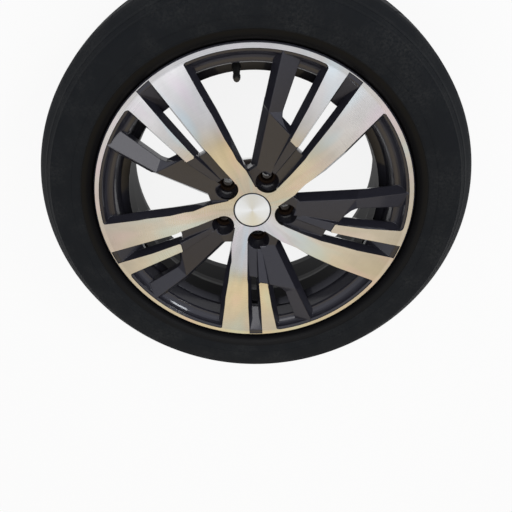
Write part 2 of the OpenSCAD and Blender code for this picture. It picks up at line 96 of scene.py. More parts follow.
class Graph:
    """A material's or the world's node tree, with short calls that add nodes and join them."""

    def __init__(self, tree: bpy.types.NodeTree) -> None:
        """Empties the tree."""
        self.tree = tree
        self.tree.nodes.clear()

    @classmethod
    def of_material(cls, name: str) -> tuple[bpy.types.Material, Graph]:
        """Makes a material.

        Args:
            name: the material's name.

        Returns:
            The material and its empty tree.
        """
        material = bpy.data.materials.new(name)
        material.use_nodes = True
        return material, cls(material.node_tree)

    def add(self, kind: str, **settings: object) -> bpy.types.Node:
        """Adds a node.

        Args:
            kind: the node's type, without the word before it that all types share.
            settings: attributes of the node.

        Returns:
            The node.
        """
        node = self.tree.nodes.new("ShaderNode" + kind)
        for key, value in settings.items():
            setattr(node, key, value)
        return node

    def feed(self, socket: Socket, value: object) -> None:
        """Joins a socket to another one, or sets its constant.

        Args:
            socket: the input.
            value: the output that feeds it, or a number, a colour or a vector.
        """
        if isinstance(value, Socket):
            self.tree.links.new(value, socket)
        elif isinstance(value, tuple) and len(value) == 3 and socket.type == "RGBA":
            socket.default_value = (*value, 1.0)
        else:
            socket.default_value = value

    def math(self, operation: str, *values: object) -> Socket:
        """A sum, a product or the like.

        Args:
            operation: the Math node's operation.
            values: one to three outputs or numbers.

        Returns:
            The result.
        """
        node = self.add("Math", operation=operation)
        for socket, value in zip(node.inputs, values):
            self.feed(socket, value)
        return node.outputs[0]

    def span(self, value: object, low: float, high: float, start: float = 0.0, end: float = 1.0) -> Socket:
        """Maps one range of a value to another, and holds the ends past them.

        Args:
            value: the value.
            low: where start is reached.
            high: where end is reached.
            start: the first result.
            end: the last result.

        Returns:
            The mapped value.
        """
        node = self.add("MapRange", clamp=True)
        for socket, number in zip(node.inputs, (value, low, high, start, end)):
            self.feed(socket, number)
        return node.outputs[0]

    def colours(self, share: object, first: object, second: object) -> Socket:
        """Mixes two colours.

        Args:
            share: 0 for the first colour, and 1 for the second.
            first: the first colour.
            second: the second colour.

        Returns:
            The mixed colour.
        """
        node = self.add("Mix", data_type="RGBA")
        self.feed(node.inputs["Factor"], share)
        self.feed(node.inputs[6], first)
        self.feed(node.inputs[7], second)
        return node.outputs[2]

    def place(self) -> Socket:
        """Where a point is on the object, in metres."""
        return self.add("TexCoord").outputs["Object"]

    def split(self, vector: Socket) -> bpy.types.bpy_prop_collection:
        """A vector's three parts, as the outputs of one node.

        Args:
            vector: the vector.

        Returns:
            The outputs for x, y and z.
        """
        node = self.add("SeparateXYZ")
        self.feed(node.inputs[0], vector)
        return node.outputs

    def joined(self, x: object, y: object, z: object) -> Socket:
        """A vector of three parts.

        Args:
            x: its first part.
            y: its second part.
            z: its third part.

        Returns:
            The vector.
        """
        node = self.add("CombineXYZ")
        for socket, value in zip(node.inputs, (x, y, z)):
            self.feed(socket, value)
        return node.outputs[0]

    def noise(self, place: object, scale: float, detail: float = 2.0, roughness: float = 0.5) -> Socket:
        """Noise from 0 to 1.

        Args:
            place: the coordinates.
            scale: lumps to the metre.
            detail: how many finer layers it has.
            roughness: how strong the finer layers are.

        Returns:
            The noise's value.
        """
        node = self.add("TexNoise")
        self.feed(node.inputs["Vector"], place)
        self.feed(node.inputs["Scale"], scale)
        self.feed(node.inputs["Detail"], detail)
        self.feed(node.inputs["Roughness"], roughness)
        return node.outputs["Fac"]

    def bump(self, height: object, depth: float, normal: object = None) -> Socket:
        """A normal tilted by a height map.

        Args:
            height: the map, from 0 to 1.
            depth: how far it stands out, in metres.
            normal: the normal to start from.

        Returns:
            The new normal.
        """
        node = self.add("Bump")
        self.feed(node.inputs["Height"], height)
        self.feed(node.inputs["Distance"], depth)
        if normal is not None:
            self.feed(node.inputs["Normal"], normal)
        return node.outputs[0]

    def softened(self, radius: float) -> Socket:
        """The normal with edges rounded over a radius in metres.

        Args:
            radius: the edges' radius, in metres.

        Returns:
            The normal.
        """
        node = self.add("Bevel", samples=4)
        self.feed(node.inputs["Radius"], radius)
        return node.outputs[0]

    def length(self, x: object, y: object) -> Socket:
        """The length of a flat vector.

        Args:
            x: its first part.
            y: its second part.

        Returns:
            The length.
        """
        return self.math("SQRT", self.math("ADD", self.math("MULTIPLY", x, x), self.math("MULTIPLY", y, y)))

    def radius(self) -> Socket:
        """Distance from the wheel's axis, in metres."""
        x, y, _ = self.split(self.place())
        return self.length(x, y)

    def round_grooves(self) -> Socket:
        """The direction of a lathe's grooves round the wheel's axis, for a shader's tangent."""
        return self.add("Tangent", direction_type="RADIAL", axis="Z").outputs[0]

    def surface(self, **inputs: object) -> Socket:
        """A Principled shader.

        Args:
            inputs: its inputs, named with _ for each space.

        Returns:
            The shader.
        """
        node = self.add("BsdfPrincipled")
        for key, value in inputs.items():
            self.feed(node.inputs[key.replace("_", " ")], value)
        return node.outputs[0]

    def shaders(self, share: object, first: Socket, second: Socket) -> Socket:
        """Mixes two shaders.

        Args:
            share: 0 for the first shader, and 1 for the second.
            first: the first shader.
            second: the second shader.

        Returns:
            The mixed shader.
        """
        node = self.add("MixShader")
        self.feed(node.inputs[0], share)
        self.feed(node.inputs[1], first)
        self.feed(node.inputs[2], second)
        return node.outputs[0]

    def background_rays(self) -> Socket:
        """1 for rays that see the white background, and 0 for the rest."""
        path = self.add("LightPath")
        first, second, third = (path.outputs[ray.value] for ray in Ray)
        return self.math("MAXIMUM", self.math("MAXIMUM", first, second), third)

    def end(self, shader: Socket) -> None:
        """Sends a shader to the material's output.

        Args:
            shader: the shader.
        """
        self.feed(self.add("OutputMaterial").inputs[0], shader)


@dataclass(frozen=True)
class WheelFinish:
    """Turned bare aluminium on the spokes' faces and the lip, and dark lacquer on all else.

    Sizes are in millimetres. face_line is the turned front as radius and height: the lathe's path. slopes
    is how steeply it rises at a radius. reach and level say how near the path and how level a surface
    has to be to count as turned.
    """

    face_line: tuple[Point, ...] = (
        (30, 42), (60, 50), (90, 58), (128, 63.5), (180, 62), (240.7, 55.98), (246, 55.95),
    )
    slopes: tuple[Point, ...] = (
        (60, 0.267), (92, 0.2), (128, 0.06), (160, -0.035), (205, -0.085), (238, -0.10), (241, 0.0),
    )
    reach: float = 0.35
    level: float = 0.9
    anisotropy: float = 0.85
    turned_roughness: Point = (0.24, 0.34)
    groove_depth: float = 0.002
    # Strength of the painted rainbow sheen on the turned metal, in the rose and sky colours below.
    painted_sheen_strength: float = 0.55
    metal: Colour = (0.62, 0.61, 0.61)
    metal_dull: Colour = (0.50, 0.49, 0.49)
    # Painted sheen: rose and sky colours of reflected light on the turned grooves, not colours of the metal.
    painted_sheen_rose: Colour = (0.66, 0.54, 0.62)
    painted_sheen_sky: Colour = (0.50, 0.62, 0.68)
    lacquer: Colour = (0.018, 0.018, 0.026)
    flake: Colour = (0.044, 0.043, 0.060)
    # Painted shade: the near-black of the barrel behind the spokes and of the bolt pockets.
    shade: Colour = (0.008, 0.008, 0.009)
    shade_r: float = 186.0
    shade_blend: float = 4.0
    shade_top: float = 16.0
    shade_foot: float = 4.0
    hub_r: float = 76.0
    hub_top: float = 17.0
    hub_blend: float = 1.0
    # Painted shade, dark brown, in the bolt holes and on the hub's back.
    brown_hole_shade: Colour = (0.030, 0.019, 0.013)
    edge_radius: float = 1.8
    peel_depth: float = 0.03
    coat: float = 0.6
    coat_roughness: float = 0.06
    front_metallic: float = 0.3
    front_roughness: float = 0.38
    dull_roughness: float = 0.6
    specular: float = 0.2
    pocket_r: float = 18.0
    pocket_edge: float = 39.0

    def along(self, graph: Graph, r: Socket, line: tuple[Point, ...], unit: float) -> Socket:
        """A value that follows a line of points over the radius, as a sum of straight stretches.

        Args:
            graph: the tree.
            r: the radius, in metres.
            line: points as radius in millimetres and value.
            unit: what the values are multiplied by.

        Returns:
            The value.
        """
        total: object = line[0][1] * unit
        for (r0, v0), (r1, v1) in zip(line, line[1:]):
            step = graph.span(r, r0 * MM, r1 * MM, 0.0, (v1 - v0) * unit)
            total = graph.math("ADD", total, step)
        return total

    def lathe_normal(self, graph: Graph) -> Socket:
        """The turned front's normal, which bends evenly from the hub to the lip.

        Args:
            graph: the tree.

        Returns:
            The normal.
        """
        x, y, _ = graph.split(graph.place())
        r = graph.radius()
        lean = graph.math("DIVIDE", graph.math("MULTIPLY", self.along(graph, r, self.slopes, 1.0), -1.0), r)
        normal = graph.add("VectorMath", operation="NORMALIZE")
        tilted = graph.joined(graph.math("MULTIPLY", x, lean), graph.math("MULTIPLY", y, lean), 1.0)
        graph.feed(normal.inputs[0], tilted)
        return normal.outputs[0]

    def pocket_shade_share(self, graph: Graph) -> Socket:
        """1 within a bolt pocket's round edge, where the pocket's shade is painted near-black onto the face
        beside it, and 0 outside it, with the five pockets folded into one.

        Args:
            graph: the tree.

        Returns:
            The share.
        """
        x, y, z = graph.split(graph.place())
        r = graph.radius()
        step = math.tau / SPOKE_UNITS
        angle = graph.math("SUBTRACT", graph.math("ARCTAN2", y, x), math.radians(FIRST_BOLT) - step / 2)
        folded = graph.math("SUBTRACT", graph.math("WRAP", angle, step, 0.0), step / 2)
        outwards = graph.math("MULTIPLY", r, graph.math("COSINE", folded))
        sideways = graph.math("MULTIPLY", r, graph.math("SINE", folded))
        off = graph.length(graph.math("SUBTRACT", outwards, BOLT_CIRCLE_R * MM), sideways)
        within = graph.math("LESS_THAN", off, self.pocket_r * MM)
        inner = graph.math("LESS_THAN", r, BOLT_CIRCLE_R * MM)
        high = graph.math("GREATER_THAN", z, self.pocket_edge * MM)
        return graph.math("MULTIPLY", within, graph.math("MULTIPLY", inner, high))

    def turned_share(self, graph: Graph) -> Socket:
        """1 where the surface is turned bare, and 0 where it is lacquered.

        Args:
            graph: the tree.

        Returns:
            The share.
        """
        _, _, z = graph.split(graph.place())
        face = self.along(graph, graph.radius(), self.face_line, MM)
        off = graph.math("ABSOLUTE", graph.math("SUBTRACT", z, face))
        _, _, up = graph.split(graph.add("NewGeometry").outputs["True Normal"])
        near = graph.math("LESS_THAN", off, self.reach * MM)
        bare = graph.math("MAXIMUM", graph.math("SUBTRACT", near, self.pocket_shade_share(graph)), 0.0)
        return graph.math("MULTIPLY", bare, graph.math("GREATER_THAN", up, self.level))

    def turned(self, graph: Graph) -> Socket:
        """The bare metal's shader: fine round grooves that draw each highlight out along the spokes.

        Args:
            graph: the tree.

        Returns:
            The shader.
        """
        r = graph.radius()
        x, y, _ = graph.split(graph.place())
        across, up = graph.math("DIVIDE", x, r), graph.math("DIVIDE", y, r)
        rays = graph.joined(across, up, graph.math("MULTIPLY", r, 2.5))
        # Lighter streaks that run out along the spokes are painted highlights; the fine rings from the bands
        # are the grooves' own tone.
        highlight_streaks = graph.noise(rays, 9.0, 3.0, 0.6)
        # Rose and sky patches that change round the wheel are a painted rainbow sheen of light on the
        # grooves.
        sheen_noise = graph.noise(rays, 4.0, 1.0)
        bands = graph.noise(graph.joined(r, 0.0, 0.0), 900.0, 3.0, 0.6)
        broad = graph.noise(graph.place(), 9.0, 2.0)
        grooves_and_highlights = graph.span(graph.math("ADD", bands, highlight_streaks), 0.7, 1.3)
        plain = graph.colours(grooves_and_highlights, self.metal_dull, self.metal)
        rose_sheen = graph.math("MULTIPLY", graph.span(sheen_noise, 0.55, 0.72), self.painted_sheen_strength)
        sky_sheen = graph.math("MULTIPLY", graph.span(sheen_noise, 0.45, 0.30), self.painted_sheen_strength)
        sheened = graph.colours(sky_sheen, graph.colours(rose_sheen, plain, self.painted_sheen_rose), self.painted_sheen_sky)
        return graph.surface(
            Base_Color=sheened,
            Metallic=1.0,
            Roughness=graph.span(graph.math("ADD", bands, broad), 0.6, 1.4, *self.turned_roughness),
            Anisotropic=self.anisotropy,
            Tangent=graph.round_grooves(),
            Normal=graph.bump(bands, self.groove_depth * MM, self.lathe_normal(graph)),
        )

    def shaded_share(self, graph: Graph) -> Socket:
        """1 on the barrel behind the spokes, which is painted near-black as shade and left rough without a
        coat, and 0 in front.

        Args:
            graph: the tree.

        Returns:
            The share.
        """
        _, _, z = graph.split(graph.place())
        outer = graph.span(graph.radius(), (self.shade_r - self.shade_blend) * MM, self.shade_r * MM)
        return graph.math("MULTIPLY", outer, graph.span(z, self.shade_top * MM, self.shade_foot * MM))

    def hub_shade_share(self, graph: Graph) -> Socket:
        """1 in the bolt holes and on the hub's back, which are painted dark brown as shade, and 0 elsewhere.

        Args:
            graph: the tree.

        Returns:
            The share.
        """
        _, _, z = graph.split(graph.place())
        inner = graph.math("LESS_THAN", graph.radius(), self.hub_r * MM)
        low = graph.span(z, self.hub_top * MM, (self.hub_top - self.hub_blend) * MM)
        return graph.math("MULTIPLY", inner, low)

    def lacquered(self, graph: Graph) -> Socket:
        """The lacquer's shader: fine metal flake under a clear coat.

        Args:
            graph: the tree.

        Returns:
            The shader.
        """
        place = graph.place()
        flakes = graph.noise(place, 2600.0, 1.0)
        peel = graph.noise(place, 260.0, 2.0)
        soft = graph.softened(self.edge_radius * MM)
        normal = graph.bump(peel, self.peel_depth * MM, soft)
        hub = self.hub_shade_share(graph)
        # The barrel behind the spokes, the bolt pockets and the hub's back get painted shade: near-black, or
        # dark brown on the hub, rough and without a coat.
        behind = graph.math("MAXIMUM", self.shaded_share(graph), hub)
        shaded = graph.math("MAXIMUM", behind, self.pocket_shade_share(graph))
        front = graph.colours(graph.span(flakes, 0.45, 0.75), self.lacquer, self.flake)
        shade_colour = graph.colours(hub, self.shade, self.brown_hole_shade)
        return graph.surface(
            Base_Color=graph.colours(shaded, front, shade_colour),
            Metallic=graph.span(shaded, 0.0, 1.0, self.front_metallic, 1.0),
            Roughness=graph.span(shaded, 0.0, 1.0, self.front_roughness, self.dull_roughness),
            Normal=normal,
            Coat_Weight=graph.span(shaded, 0.0, 1.0, self.coat, 0.0),
            Coat_Roughness=self.coat_roughness,
            Coat_Normal=normal,
            Specular_IOR_Level=self.specular,
        )

    def build(self) -> bpy.types.Material:
        """The wheel's material."""
        material, graph = Graph.of_material("wheel_finish")
        graph.end(graph.shaders(self.turned_share(graph), self.lacquered(graph), self.turned(graph)))
        return material


@dataclass(frozen=True)
class TyreFinish:
    """Charcoal rubber, with a glossier band beside the rim painted near-black as shade, mould lines and a
    little dust.
    """

    rubber: Colour = (0.0065, 0.0080, 0.0105)
    # The band's near-black is painted shade of the hollow by the rim's flange; its lower roughness is the
    # rubber's own gloss.
    shaded_glossy_band: Colour = (0.002, 0.002, 0.0025)
    dust: Colour = (0.030, 0.031, 0.032)
    band_r: float = 262.0
    band_blend: float = 3.0
    band_roughness: float = 0.38
    rubber_roughness: float = 0.66
    cloud_roughness: float = 0.14
    relief: float = 0.16
    specular: float = 0.14

    def build(self) -> bpy.types.Material:
        """The tyre's material."""
        material, graph = Graph.of_material("tyre_finish")
        place = graph.place()
        r = graph.radius()
        _, _, z = graph.split(place)
        grain = graph.noise(place, 1500.0, 3.0, 0.6)
        cloud = graph.noise(place, 16.0, 4.0, 0.6)
        specks = graph.noise(place, 300.0, 2.0, 0.8)
        lines = graph.noise(graph.joined(r, z, 0.0), 520.0, 2.0)
        outside = graph.span(r, self.band_r * MM, (self.band_r + self.band_blend) * MM)
        dusty = graph.math("MULTIPLY", graph.span(cloud, 0.42, 0.72), graph.span(specks, 0.35, 0.8))
        dusty = graph.math("MULTIPLY", dusty, outside)
        plain = graph.colours(outside, self.shaded_glossy_band, self.rubber)
        height = graph.math("ADD", graph.math("MULTIPLY", grain, 0.5), lines)
        smooth = graph.span(outside, 0.0, 1.0, self.band_roughness, self.rubber_roughness)
        graph.end(
            graph.surface(
                Base_Color=graph.colours(dusty, plain, self.dust),
                Roughness=graph.math("ADD", smooth, graph.math("MULTIPLY", cloud, self.cloud_roughness)),
                Normal=graph.bump(height, self.relief * MM),
                Specular_IOR_Level=self.specular,
            )
        )
        return material


@dataclass(frozen=True)
class MetalFinish:
    """Plain or brushed metal.

    grooves is true where a lathe has left rings round the wheel's axis.
    """

    name: str
    light: Colour
    dark: Colour
    roughness: float
    grooves: bool = False
    anisotropy: float = 0.0

    def build(self) -> bpy.types.Material:
        """The metal's material."""
        material, graph = Graph.of_material(self.name)
        r = graph.radius()
        place = graph.joined(r, 0.0, 0.0) if self.grooves else graph.place()
        bands = graph.noise(place, 1400.0, 3.0, 0.7)
        inputs = {
            "Base_Color": graph.colours(bands, self.dark, self.light),
            "Metallic": 1.0,
            "Roughness": graph.span(bands, 0.2, 0.8, self.roughness * 0.8, self.roughness * 1.25),
            "Normal": graph.bump(bands, 0.00001),
        }
        if self.grooves:
            inputs["Anisotropic"] = self.anisotropy
            inputs["Tangent"] = graph.round_grooves()
        graph.end(graph.surface(**inputs))
        return material


@dataclass(frozen=True)
class MouldedFinish:
    """Moulded plastic or rubber with a fine grain."""

    name: str
    colour: Colour
    worn: Colour
    roughness: float
    grain: float = 900.0

    def build(self) -> bpy.types.Material:
        """The moulding's material."""
        material, graph = Graph.of_material(self.name)
        place = graph.place()
        grain = graph.noise(place, self.grain, 3.0, 0.6)
        patches = graph.noise(place, 60.0, 3.0)
        graph.end(
            graph.surface(
                Base_Color=graph.colours(graph.span(patches, 0.4, 0.8), self.colour, self.worn),
                Roughness=graph.span(grain, 0.2, 0.8, self.roughness - 0.08, self.roughness + 0.08),
                Normal=graph.bump(grain, 0.00005),
            )
        )
        return material


@dataclass(frozen=True)
class FloorFinish:
    """A pale floor that looks white and keeps a faint shadow, which is deeper under the hub.

    hub_shade is the middle of the deeper shadow, in millimetres.
    """

    pale: Colour = (0.90, 0.90, 0.90)
    white: Colour = (1.0, 1.0, 1.0)
    glow: float = 0.88
    hub_shade: Point = (-9.0, -73.0)
    hub_shade_r: float = 80.0
    hub_shade_blend: float = 10.0

    def build(self) -> bpy.types.Material:
        """The floor's material."""
        material, graph = Graph.of_material("floor_finish")
        pale = graph.add("BsdfDiffuse")
        graph.feed(pale.inputs[0], self.pale)
        bright = graph.add("Emission")
        graph.feed(bright.inputs[0], self.white)
        x, y, _ = graph.split(graph.place())
        off_x = graph.math("SUBTRACT", x, self.hub_shade[0] * MM)
        off_y = graph.math("SUBTRACT", y, self.hub_shade[1] * MM)
        off = graph.length(off_x, off_y)
        edge = self.hub_shade_r + self.hub_shade_blend
        open_floor = graph.span(off, self.hub_shade_r * MM, edge * MM, 0.0, self.glow)
        share = graph.math("MULTIPLY", graph.background_rays(), open_floor)
        graph.end(graph.shaders(share, pale.outputs[0], bright.outputs[0]))
        return material


def dress(node: str, material: bpy.types.Material) -> None:
    """Gives a CAD node one material.

    Args:
        node: the node's name.
        material: the material.
    """
    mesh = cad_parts[node].data
    mesh.materials.clear()
    mesh.materials.append(material)
    LOG.info("dressed %s with %s", node, material.name)


@dataclass
class CastWheel:
    """The cast wheel."""

    finish: WheelFinish = WheelFinish()

    def build(self) -> None:
        """Dresses the casting and adds its small fills."""
        material = self.finish.build()
        dress("wheel", material)
        CastFills().build(material)


@dataclass
class CastFills:
    """Small forms of the casting that its CAD solid leaves out, five times round the wheel.

    The tongue rounds a corner of the opening between two spokes, laid out in one spoke unit. The pocket
    wall closes the side of a bolt pocket where it comes out of the hub. Sizes are in millimetres and
    angles in degrees.
    """

    tongue: tuple[Point, ...] = (
        (-77.4, 140.1), (-31, 129.6), (-33.5, 132.6), (-45.7, 137.3), (-55.6, 143.2), (-59.6, 148.6),
        (-65, 158),
    )
    tongue_corner: tuple[float, float, float] = (-77.5, 139.9, 59.6)
    tongue_rise: Point = (-0.16, -0.45)
    tongue_foot: float = 38
    pocket_foot: Point = (13.7, 13)
    pocket_top: Point = (17.6, 41)
    pocket_wall: float = 2.6
    wall_sweep: float = 78
    wall_steps: int = 26

    def add_tongue(self, points: Points, faces: Faces, turn: float) -> None:
        """Adds one tongue as a closed block.

        Args:
            points: the mesh's points, which grow.
            faces: the mesh's faces, which grow.
            turn: the unit's angle round the axle, in degrees.
        """
        x0, y0, z0 = self.tongue_corner
        rise_x, rise_y = self.tongue_rise
        first, count = len(points), len(self.tongue)
        cos, sin = math.cos(math.radians(turn)), math.sin(math.radians(turn))
        for top in (True, False):
            for x, y in self.tongue:
                z = z0 + rise_x * (x - x0) + rise_y * (y - y0) if top else self.tongue_foot
                points.append(((x * cos - y * sin) * MM, (x * sin + y * cos) * MM, z * MM))
        faces.append(tuple(range(first, first + count)))
        faces.append(tuple(reversed(range(first + count, first + 2 * count))))
        for i in range(count):
            j = (i + 1) % count
            faces.append((first + j, first + i, first + count + i, first + count + j))

    def add_pocket_wall(self, points: Points, faces: Faces, turn: float) -> None:
        """Adds one curved wall on the outer side of a bolt pocket, as a closed strip.

        Args:
            points: the mesh's points, which grow.
            faces: the mesh's faces, which grow.
            turn: the pocket's angle round the axle, in degrees.
        """
        first = len(points)
        centre_x = BOLT_CIRCLE_R * math.cos(math.radians(turn))
        centre_y = BOLT_CIRCLE_R * math.sin(math.radians(turn))
        (foot_r, foot_z), (top_r, top_z) = self.pocket_foot, self.pocket_top
        thick = self.pocket_wall
        section = ((foot_r, foot_z), (top_r, top_z), (top_r + thick, top_z), (foot_r + thick, foot_z))
        for i in range(self.wall_steps + 1):
            angle = math.radians(turn + self.wall_sweep * (2 * i / self.wall_steps - 1))
            for r, z in section:
                x, y = centre_x + r * math.cos(angle), centre_y + r * math.sin(angle)
                points.append((x * MM, y * MM, z * MM))
        for i in range(self.wall_steps):
            here, there = first + 4 * i, first + 4 * (i + 1)
            for j in range(4):
                k = (j + 1) % 4
                faces.append((here + j, here + k, there + k, there + j))
        last = first + 4 * self.wall_steps
        faces.append((first + 3, first + 2, first + 1, first))
        faces.append((last, last + 1, last + 2, last + 3))

    def mesh(self) -> bpy.types.Mesh:
        """All the fills as one mesh of closed blocks."""
        points: Points = []
        faces: Faces = []
        for k in range(SPOKE_UNITS):
            self.add_tongue(points, faces, FIRST_UNIT + k * 360 / SPOKE_UNITS)
            self.add_pocket_wall(points, faces, FIRST_BOLT + k * 360 / SPOKE_UNITS)
        mesh = bpy.data.meshes.new("cast_fills")
        mesh.from_pydata(points, [], faces)
        mesh.update()
        return mesh

    def build(self, finish: bpy.types.Material) -> None:
        """Makes the fills and dresses them as the casting.

        Args:
            finish: the casting's material.
        """
        mesh = self.mesh()
        mesh.materials.append(finish)
        fills = bpy.data.objects.new("cast_fills", mesh)
        bpy.context.scene.collection.objects.link(fills)
        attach(fills, Body.WHEEL.value)
        LOG.info("made cast_fills with %d faces", len(mesh.polygons))


@dataclass(frozen=True)
class Dressing:
    """CAD nodes that share a finish."""

    nodes: tuple[str, ...]
    finish: MetalFinish | MouldedFinish

    def build(self) -> None:
        """Makes the finish and dresses the nodes with it."""
        material = self.finish.build()
        for node in self.nodes:
            dress(node, material)


@dataclass
class CentreCap:
    """The clip-in cap, with its bare bright face, and the wire ring that spreads its legs."""

    rows: tuple[Dressing, ...] = (
        Dressing(
            ("centre_cap",), MouldedFinish("cap_plastic", (0.028, 0.028, 0.032), (0.04, 0.04, 0.045), 0.4)
        ),
        Dressing(
            ("cap_face",), MetalFinish("cap_brushed", (0.84, 0.90, 1.0), (0.66, 0.72, 0.84), 0.42, True, 0.7)
        ),
        Dressing(("cap_spring_ring",), MetalFinish("spring_wire", (0.6, 0.6, 0.62), (0.45, 0.45, 0.47), 0.3)),
    )

    def build(self) -> None:
        """Dresses the cap's three pieces."""
        for row in self.rows:
            row.build()


@dataclass
class Valve:
    """The snap-in tyre valve with its core and dust cap."""

    rows: tuple[Dressing, ...] = (
        Dressing(
            ("valve_body",), MouldedFinish("valve_rubber", (0.012, 0.012, 0.013), (0.022, 0.021, 0.02), 0.55)
        ),
        Dressing(("valve_stem",), MetalFinish("valve_brass", (0.78, 0.60, 0.30), (0.62, 0.46, 0.22), 0.28)),
        Dressing(
            ("valve_core_plug",), MetalFinish("core_brass", (0.80, 0.64, 0.34), (0.66, 0.50, 0.25), 0.3)
        ),
        Dressing(
            ("valve_core_gasket",), MouldedFinish("core_gasket", (0.45, 0.03, 0.02), (0.36, 0.03, 0.02), 0.5)
        ),
        Dressing(("valve_core_cup",), MouldedFinish("core_cup", (0.02, 0.02, 0.02), (0.03, 0.03, 0.03), 0.5)),
        Dressing(
            ("valve_core_pin", "valve_core_spring"),
            MetalFinish("core_steel", (0.62, 0.62, 0.64), (0.50, 0.50, 0.52), 0.25),
        ),
        Dressing(
            ("valve_cap",),
            MouldedFinish("dust_cap_plastic", (0.010, 0.010, 0.011), (0.018, 0.018, 0.018), 0.42),
        ),
        Dressing(("valve_cap_seal",), MouldedFinish("cap_seal", (0.03, 0.02, 0.02), (0.04, 0.03, 0.03), 0.6)),
    )

    def build(self) -> None:
        """Dresses the valve's nine pieces."""
        for row in self.rows:
            row.build()


@dataclass(frozen=True)
class Station:
    """One point of the tyre's section, in millimetres.

    across is the distance from the tyre's middle plane, lateral the depth there of the grooves that
    cross the shoulder, and sipe that of the fine cuts.
    """

    radius: float
    across: float
    lateral: float = 0.0
    sipe: float = 0.0


@dataclass
class Tyre:
    """The tyre, made afresh over its CAD solid with cross grooves, fine cuts and sidewall ribs.

    Sizes are in millimetres. The section follows the solid's: sidewall and cavity are rows of the share of
    the height over the rim's flange, and the inset from the widest point. ribs are rows of such a share, a
    width and a height. Knots are places within one pitch of the tread, as a share of it. cross_share and
    edge_share say how deep the cross grooves are beside the round ones and at the tread's edge.
    """

    flange_r: float = 248.5
    seat_r: float = 231.0
    rim_half: float = 88.9
    curl: float = 9.5
    heel: float = 6.5
    bead: float = 16.0
    seat_taper: float = math.tan(math.radians(5))
    half_tread: float = 90.0
    crown_drop: float = 9.5
    groove_depth: float = 7.5
    groove_half: float = 4.5
    groove_slope: float = 1.2
    groove_at: tuple[float, ...] = (52.0, 19.0)
    shoulder_at: tuple[float, float, float] = (84.0, 72.0, 60.0)
    cross_share: float = 0.9
    edge_share: float = 0.15
    fine_depth: float = 2.5
    sharp_angle: float = 32.0
    sidewall: tuple[Point, ...] = (
        (0.01, 21.9), (0.023, 15), (0.06, 10), (0.124, 6.3), (0.276, 1.9), (0.384, 0.3),
        (0.42, 0), (0.50, 0), (0.557, 0.4), (0.632, 2.2), (0.686, 6.5), (0.795, 16.5), (0.849, 21.5),
    )
    cavity: tuple[Point, ...] = (
        (-0.06, 40), (0.06, 22), (0.276, 11.5), (0.46, 9), (0.66, 14), (0.78, 30), (0.83, 50), (0.845, 116.5),
    )
    ribs: tuple[tuple[float, float, float], ...] = (
        (0.17, 1.6, 0.5), (0.31, 1.0, 0.35), (0.43, 1.0, 0.35), (0.655, 1.6, 0.5), (0.74, 1.2, 0.45),
    )
    sidewall_step: float = 0.034
    pitches: int = 60
    lateral_knots: tuple[Point, ...] = (
        (0.0, 0.0), (0.035, 1.0), (0.125, 1.0), (0.16, 0.0),
    )
    sipe_knots: tuple[Point, ...] = ((0.52, 0.0), (0.545, 1.0), (0.57, 0.0))
    plain_knots: tuple[float, ...] = (0.34, 0.78)
    skew: float = 0.0016

    def __post_init__(self) -> None:
        """Takes the tyre's outer sizes and middle plane from its CAD solid."""
        low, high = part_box("tyre")
        self.outer_r = (high.x - low.x) / 2 / MM
        self.half_width = (high.z - low.z) / 2 / MM
        self.middle = (high.z + low.z) / 2 / MM

    def crown(self, across: float) -> float:
        """The tread's radius at a distance from the middle plane.

        Args:
            across: the distance, in millimetres.

        Returns:
            The radius, in millimetres.
        """
        return self.outer_r - self.crown_drop * (across / self.half_tread) ** 2

    def side_inset(self, share: float) -> float:
        """The sidewall's inset at a share of its height, on a smooth curve through its rows.

        Args:
            share: the share of the height.

        Returns:
            The inset from the widest point, in millimetres.
        """
        rows = self.sidewall
        at = max(i for i in range(len(rows) - 1) if share >= rows[i][0] - 1e-9)
        (x0, y0), (x1, y1) = rows[at], rows[at + 1]
        before = rows[max(at - 1, 0)]
        after = rows[min(at + 2, len(rows) - 1)]
        width = x1 - x0
        rise0 = (y1 - before[1]) / (x1 - before[0]) * width
        rise1 = (after[1] - y0) / (after[0] - x0) * width
        s = (share - x0) / width
        return (
            (2 * s**3 - 3 * s**2 + 1) * y0
            + (s**3 - 2 * s**2 + s) * rise0
            + (3 * s**2 - 2 * s**3) * y1
            + (s**3 - s**2) * rise1
        )

    def rib_height(self, share: float) -> float:
        """How far a raised ring stands out of the sidewall at a share of its height.

        Args:
            share: the share of the height.

        Returns:
            The height of the ring there, in millimetres.
        """
        wall = self.outer_r - self.flange_r
        best = 0.0
        for centre, width, height in self.ribs:
            off = abs(share - centre) * wall
            best = max(best, min(height, width / 2 + height - off))
        return best

    def side_shares(self) -> list[float]:
        """The shares of the sidewall's height that get a station: even steps, and each rib's four edges."""
        wall = self.outer_r - self.flange_r
        edges = [
            centre + sign * (width / 2 + extra) / wall
            for centre, width, height in self.ribs
            for sign in (-1, 1)
            for extra in (0.0, height)
        ]
        first, last = self.sidewall[0][0], self.sidewall[-1][0]
        even = [row[0] for row in self.sidewall[:3]]
        count = int((last - even[-1]) / self.sidewall_step)
        even += [even[-1] + (last - even[-1]) * i / count for i in range(1, count + 1)]
        spaced = [s for s in even if all(abs(s - e) > 0.004 for e in edges)]
        return sorted(s for s in spaced + edges if first <= s <= last)

    def arc(self, centre: Point, radius: float, start: float, end: float, steps: int) -> list[Station]:
        """Stations on an arc, with angles in degrees.

        Args:
            centre: the arc's centre, as radius and distance from the middle plane.
            radius: the arc's radius.
            start: its first angle.
            end: its last angle.
            steps: how many steps it has.

        Returns:
            The stations, in order.
        """
        turns = (math.radians(start + (end - start) * i / steps) for i in range(steps + 1))
        return [Station(centre[0] + radius * math.cos(a), centre[1] + radius * math.sin(a)) for a in turns]

